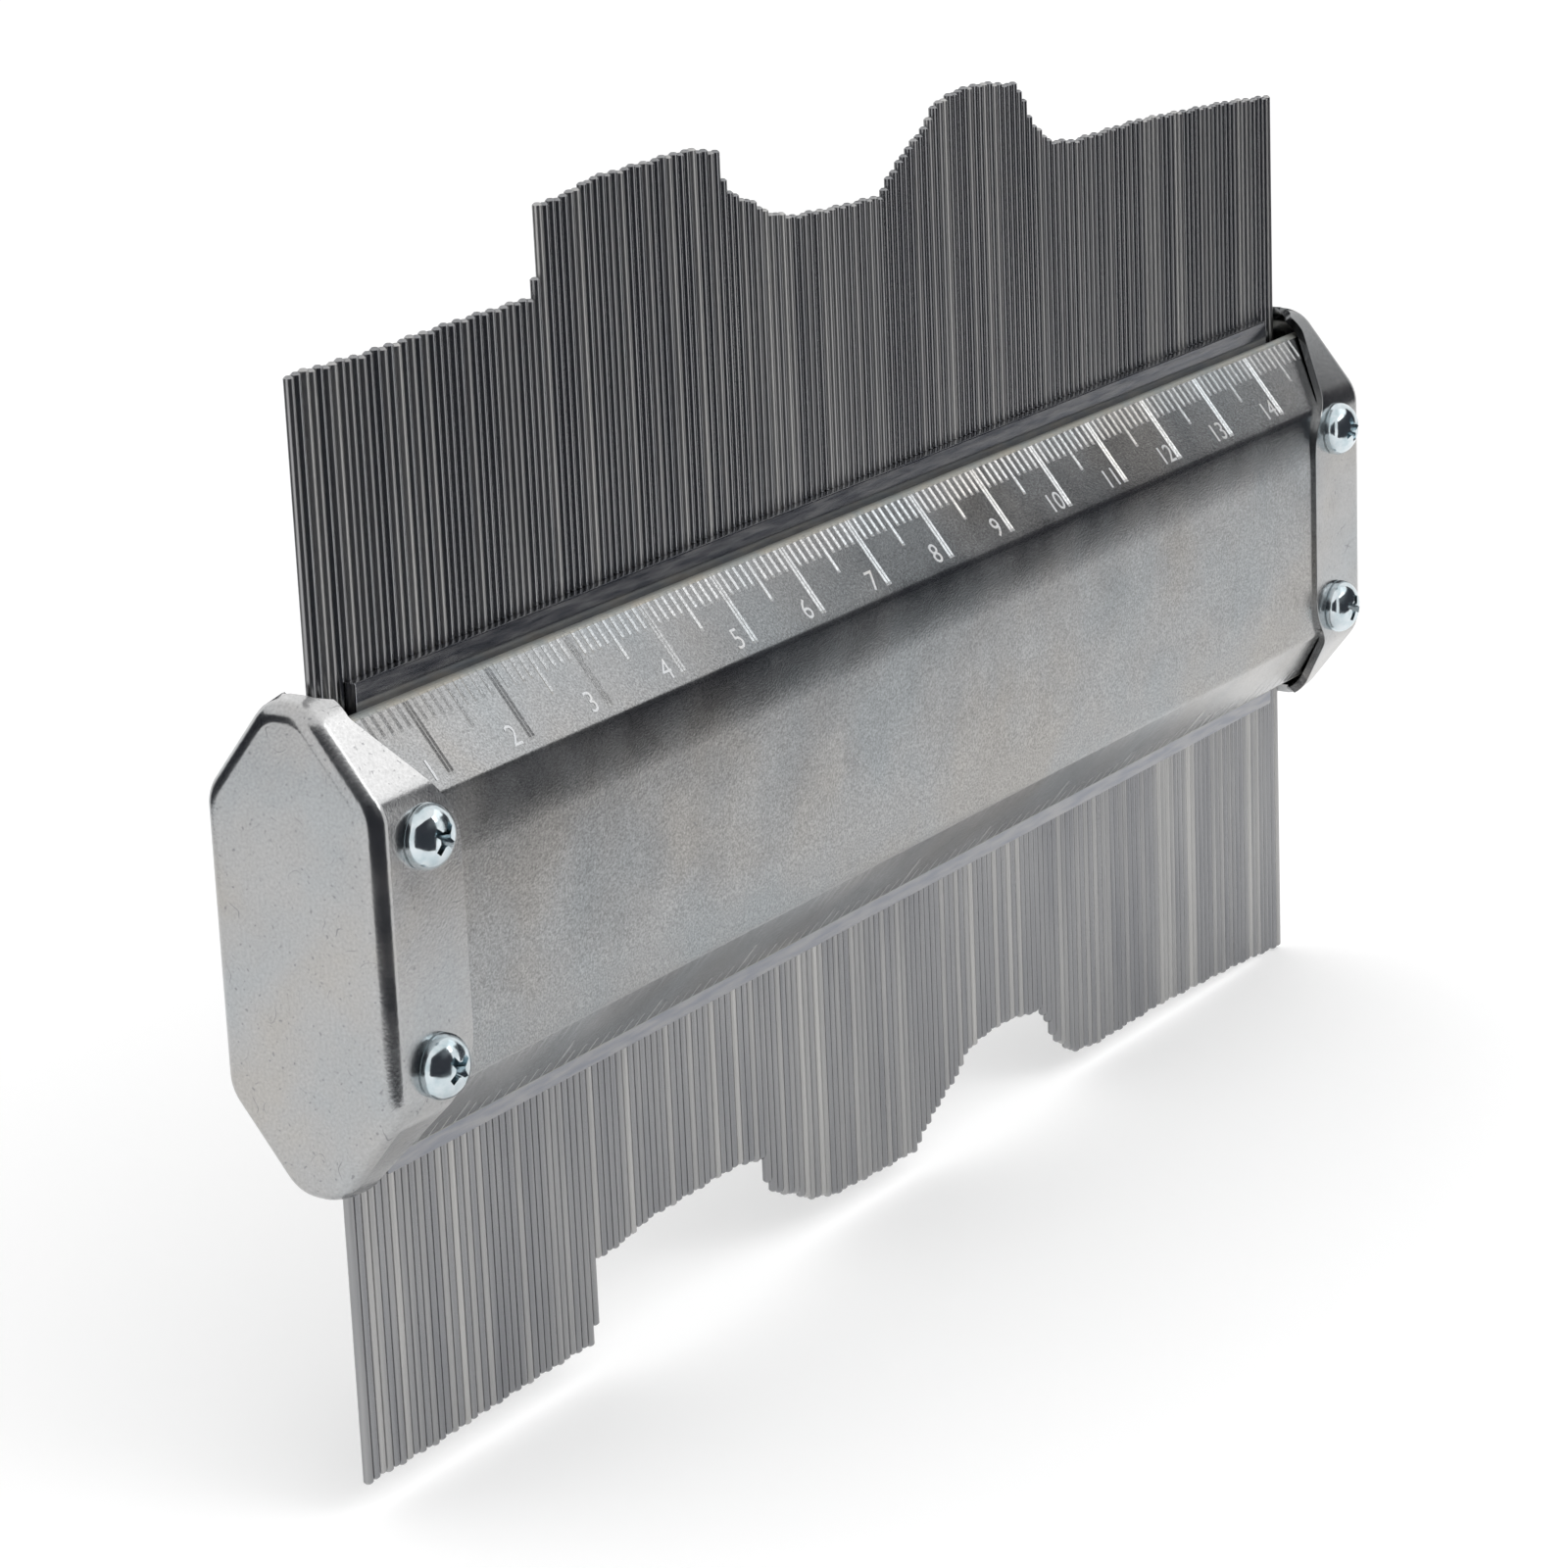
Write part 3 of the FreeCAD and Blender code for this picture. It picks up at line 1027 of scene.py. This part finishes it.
@dataclass
class GuidePlate:
    """Flat strip between the lips of a shell and the needles."""

    edge_round: float = 0.12

    def build(self, finish: Material) -> None:
        """Build and dress both guide plates in the place of the frame's own.

        Args:
            finish: Finish of the plates.
        """
        for name in ("front", "rear"):
            low, high = (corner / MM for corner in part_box(f"{name}_guide_plate"))
            bm = bmesh.new()
            verts = bmesh.ops.create_cube(bm, size=1.0)["verts"]
            bmesh.ops.scale(bm, vec=high - low, verts=verts)
            bmesh.ops.translate(bm, vec=(low + high) / 2, verts=verts)
            round_off(bm, bm.edges[:], self.edge_round, 2)
            finish_piece(f"{name}_guide_strip", bm, finish, replaces=(f"{name}_guide_plate",))


@dataclass
class NeedleRow:
    """The sliding needles, four to a body."""

    radius: float = 0.4
    first: float = 3.752
    pitch: float = 0.824
    per_body: int = 4
    sides: int = 10
    tip_round: float = 0.16
    lean: float = 0.015
    foot_lean: float = -0.7
    lean_turn: float = 2.4

    def spans(self, name: str) -> list[tuple[float, float, float]]:
        """Read the needles of one body from the frame.

        Args:
            name: Name of the body's node.

        Returns:
            For each needle its place along the gauge, its foot and its top.
        """
        points = sorted((v.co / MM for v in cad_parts[name].data.vertices), key=lambda p: p.x)
        per_needle = len(points) // self.per_body
        rows = []
        for start in range(0, len(points), per_needle):
            group = points[start:start + per_needle]
            zs = [p.z for p in group]
            rows.append(((group[0].x + group[-1].x) / 2, min(zs), max(zs)))
        return rows

    def build(self, finish: Material) -> None:
        """Build and dress the needles of every body.

        Args:
            finish: Finish of the needles.
        """
        names = sorted(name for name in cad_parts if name.startswith("needles_"))
        for group, name in enumerate(names):
            bm = bmesh.new()
            for i, (x, foot, top) in enumerate(self.spans(name)):
                middle = Matrix.Translation((x, 0.0, (foot + top) / 2))
                made = bmesh.ops.create_cone(
                    bm, cap_ends=True, segments=self.sides, radius1=self.radius, radius2=self.radius,
                    depth=top - foot, matrix=middle,
                )["verts"]
                wander = math.sin((group * self.per_body + i) * self.lean_turn) * self.lean
                for vert in made:
                    vert.co.y += wander * (1 if vert.co.z > 0 else self.foot_lean)
            ends = [e for e in bm.edges if abs(e.verts[0].co.z - e.verts[1].co.z) < NEAR]
            round_off(bm, ends, self.tip_round)
            piece_name = name.replace("needles", "needle_set")
            finish_piece(piece_name, bm, finish, body=name, replaces=(name,), sharp=40.0)


@dataclass
class Studio:
    """Floor, light and camera around the gauge, in metres, with the lens and its sensor in millimetres.

    Each of the boxes has a name, a size, a power in watts, a place and an aim.
    """

    floor_radius: float = 4.0
    floor_gap: float = 0.0002
    floor_sides: int = 64
    floor_tone: Colour = (0.9, 0.9, 0.9)
    floor_cloud_mm: float = 300.0
    floor_shade: float = 0.995
    floor_roughness: float = 0.9
    floor_glow: float = 0.11
    floor_white: float = 0.17
    camera_place: Place = (-0.251652, -0.212542, 0.110122)
    camera_right: Place = (0.547542, -0.835743, -0.041596)
    camera_down: Place = (-0.262934, -0.124645, -0.956728)
    clip_start: float = 0.01
    sensor: float = 36.0
    lens: float = 109.452
    shift_y: float = -0.00077
    card_dark: Colour = (0.045, 0.047, 0.055)
    cards_at: tuple[tuple[Place, ...], ...] = (
        (
            (0.095, -0.092, 0.07), (0.13, -0.106, 0.08), (0.18, -0.117, 0.09), (0.25, -0.124, 0.115),
            (0.36, -0.14, 0.21), (0.48, -0.155, 0.30), (0.54, -0.1625, 0.36), (0.62, -0.1725, 0.43),
        ),
        ((0.045, -0.098, 0.12), (0.0, -0.09, 0.12), (-0.07, -0.075, 0.12), (-0.13, -0.045, 0.12)),
        ((0.13, 0.15, 0.085), (0.27, 0.15, 0.1), (0.58, 0.15, 0.22)),
        ((0.022, 0.2, 0.085), (-0.12, 0.2, 0.1), (-0.43, 0.2, 0.22)),
    )
    boxes: tuple[tuple[str, Point, float, Place, Place], ...] = (
        ("soft_box", (0.30, 0.20), 0.36, (0.12, -0.39, 0.30), (0.04, 0.0, 0.0)),
        ("side_box", (0.16, 0.13), 0.024, (0.21, -0.135, 0.18), (0.01, 0.0, 0.015)),
    )

    def floor(self) -> None:
        """Lay the pale floor just under the lowest needle."""
        low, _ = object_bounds()
        bm = bmesh.new()
        bmesh.ops.create_circle(bm, cap_ends=True, segments=self.floor_sides, radius=self.floor_radius)
        bmesh.ops.translate(bm, vec=(BODY.length / 2 * MM, 0.0, low.z - self.floor_gap), verts=bm.verts)
        piece = add_object("floor", bm)
        bench = NodeBench("pale_floor")
        cloud = bench.noise(bench.place(), self.floor_cloud_mm, 1.0)
        shaded = tuple(part * self.floor_shade for part in self.floor_tone)
        bench.set(
            Base_Color=bench.tint(cloud, self.floor_tone, shaded), Roughness=self.floor_roughness,
            Specular_IOR_Level=0.0, Emission_Color=(1.0, 1.0, 1.0, 1.0),
        )
        path = bench.add("ShaderNodeLightPath").outputs
        seen = bench.maths("MULTIPLY", path["Is Camera Ray"], self.floor_white)
        mirrored = bench.maths("MULTIPLY", path["Is Glossy Ray"], self.floor_glow)
        bench.set(Emission_Strength=bench.maths("ADD", seen, mirrored))
        piece.data.materials.append(bench.material)
        piece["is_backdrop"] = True

    def cards(self) -> None:
        """Stand dark cards round the gauge, so that the metal has something dark to mirror."""
        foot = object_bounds()[0].z
        bench = NodeBench("studio_card")
        bench.tree.nodes.remove(bench.shader)
        glow = bench.make("Emission", "Emission", {"Color": (*self.card_dark, 1.0)})
        bench.join(glow, bench.output.inputs["Surface"])
        for number, spots in enumerate(self.cards_at):
            bm = bmesh.new()
            for left, right in zip(spots, spots[1:]):
                low = [Vector((x, y, foot)) for x, y, _ in (left, right)]
                add_ring(bm, [*low, Vector(right), Vector(left)])
            card = add_object(f"studio_card_{number}", bm)
            card.data.materials.append(bench.material)
            card.visible_camera = card.visible_diffuse = card.visible_shadow = False
            card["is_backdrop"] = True

    def lights(self) -> None:
        """Light the gauge with a white room and two soft boxes."""
        world = bpy.data.worlds.new("white_room")
        bpy.context.scene.world = world
        world.use_nodes = True
        sky = world.node_tree.nodes["Background"].inputs
        sky["Color"].default_value = (1.0, 1.0, 1.0, 1.0)
        sky["Strength"].default_value = 1.0
        for name, size, energy, place, aim in self.boxes:
            lamp = bpy.data.lights.new(name, "AREA")
            lamp.shape = "RECTANGLE"
            lamp.size, lamp.size_y = size
            lamp.energy = energy
            box = add_object(name, lamp)
            box.location = place
            box.rotation_euler = (Vector(aim) - box.location).to_track_quat("-Z", "Y").to_euler()

    def camera(self) -> None:
        """Set the camera at the photo's place and angle."""
        lens = bpy.data.cameras.new("camera")
        lens.sensor_width = self.sensor
        lens.sensor_fit = "HORIZONTAL"
        lens.lens = self.lens
        lens.shift_y = self.shift_y
        lens.clip_start = self.clip_start
        right, up = Vector(self.camera_right), -Vector(self.camera_down)
        turn = Matrix((right, up, right.cross(up))).transposed().to_4x4()
        eye = add_object("camera", lens)
        eye.matrix_world = Matrix.Translation(self.camera_place) @ turn
        bpy.context.scene.camera = eye

    def build(self) -> None:
        """Set up the whole studio."""
        self.camera()
        self.lights()
        self.floor()
        self.cards()
        bpy.context.scene.view_settings.view_transform = "Standard"


def main() -> None:
    """Build the pieces in order, then the studio."""
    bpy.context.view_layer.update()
    sheet = PlatedSheet(
        "shell_sheet", tone=(0.35, 0.354, 0.356), cool=(0.328, 0.346, 0.356), warm=(0.364, 0.354, 0.34),
        gloss=(0.18, 0.26), grain_size=0.17, grain_depth=0.006, speckle=0.288, mark_reach=(0.76, 0.8),
    )
    # Lit and shaded copies of one cap finish: the left cap's upper slopes take a painted highlight, the
    # right cap's take painted shade.
    left_cup = PlatedSheet(
        "left_cap_painted_highlight_sheet", tone=(0.445, 0.445, 0.445), cool=(0.42, 0.435, 0.445), warm=(0.46, 0.447, 0.43),
        gloss=(0.16, 0.25), grain_size=0.25, grain_depth=0.006, cloud_size=9.0, speckle=0.096,
        mark_size=2.6, mark_width=0.007, mark_reach=(0.6, 0.68), pit_reach=(0.67, 0.75),
        burnish=(0.63, 0.63, 0.63),
    )
    right_cup = replace(
        left_cup, name="right_cap_painted_shade_sheet", burnish=(0.2, 0.205, 0.21), burnish_start=(154.4, 153.6),
    )
    # Painted highlight: the numbers are lighter than the sheet, standing in for the highlights along
    # stamped strokes.
    stamp = PlatedSheet(
        "numeral_painted_highlight", tone=(0.80, 0.81, 0.82), cool=(0.76, 0.78, 0.80), warm=(0.80, 0.79, 0.77),
        gloss=(0.5, 0.6), grain_size=0.2, grain_depth=0.002, cloud_size=3.0, speckle=0.048,
    )
    cut = replace(
        stamp, name="cut_lip", tone=(0.43, 0.43, 0.40), cool=(0.38, 0.40, 0.39), warm=(0.45, 0.43, 0.38),
    )
    # Painted highlight: one wall of each groove is lighter than the sheet.
    groove = replace(
        stamp, name="groove_wall_painted_highlight", tone=(0.5, 0.5, 0.5), cool=(0.46, 0.47, 0.48), warm=(0.5, 0.49, 0.47),
    )
    screw = CloudedFinish(
        "blue_zinc", tone=(0.70, 0.76, 0.79), cloud=(0.52, 0.62, 0.66), gloss=(0.08, 0.2), size=0.9,
        grain_size=0.35,
    )
    strip = CloudedFinish(
        "guide_strip", tone=(0.26, 0.27, 0.3), cloud=(0.35, 0.35, 0.36), gloss=(0.15, 0.22),
        size=0.5, reach=(0.35, 0.65), stretch=(0.12, 1.0, 1.0),
    )
    row = NeedleRow()
    wire = DrawnWire(
        "needle_wire", dark=(0.22, 0.225, 0.24), light=(0.545, 0.54, 0.527), gloss=(0.2, 0.34),
        first=row.first, pitch=row.pitch,
    )
    felt = CloudedFinish(
        "grey_felt", tone=(0.16, 0.16, 0.155), cloud=(0.28, 0.28, 0.27), gloss=0.95, size=0.25, detail=6.0,
        relief=0.1, metal=0.0,
    )
    Shell().build(sheet.material(), stamp.material(), cut.material(), groove.material())
    EndCap().build(left_cup.material(), right_cup.material())
    PanScrew().build(screw.material())
    GuidePlate().build(strip.material())
    row.build(wire.material())
    fibres = felt.material()
    for name in ("front_friction_pad", "rear_friction_pad"):
        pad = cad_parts[name]
        pad.data.materials.clear()
        pad.data.materials.append(fibres)
    Studio().build()


if __name__ == "__main__":
    main()
